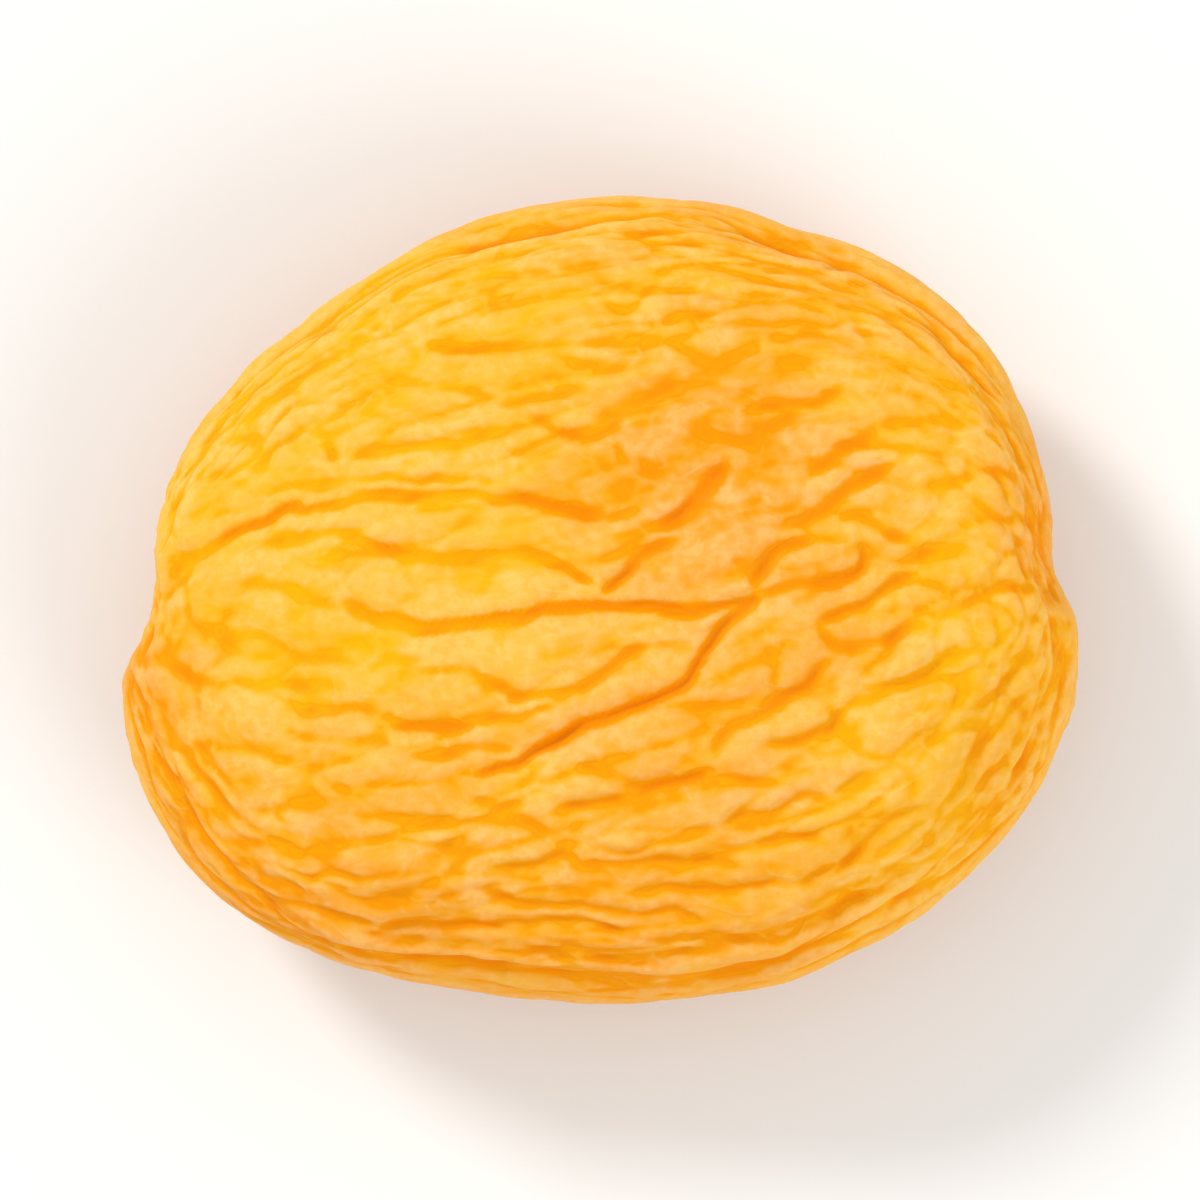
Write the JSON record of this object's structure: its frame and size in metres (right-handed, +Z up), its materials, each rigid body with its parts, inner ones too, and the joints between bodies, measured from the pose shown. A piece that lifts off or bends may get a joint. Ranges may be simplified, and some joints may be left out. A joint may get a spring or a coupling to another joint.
{
  "type": "dried apricot",
  "caption": "Whole pitted dried apricot, a plump oval pillow of wrinkled amber skin with a seam round one edge and a drawn-in stem end.",
  "frame": {"origin": "on the surface that the fruit lies on, under the middle of its box", "axes": "+X from the stem end to the tip along the longest side, +Y towards the edge with the seam, +Z up through the thickness"},
  "size_m": [0.04, 0.0338, 0.015],
  "materials": {
    "apricot_skin": "satin, wrinkled, slightly translucent fruit skin"
  },
  "bodies": {
    "root": {"dried_apricot": "apricot_skin"}
  },
  "joints": []
}
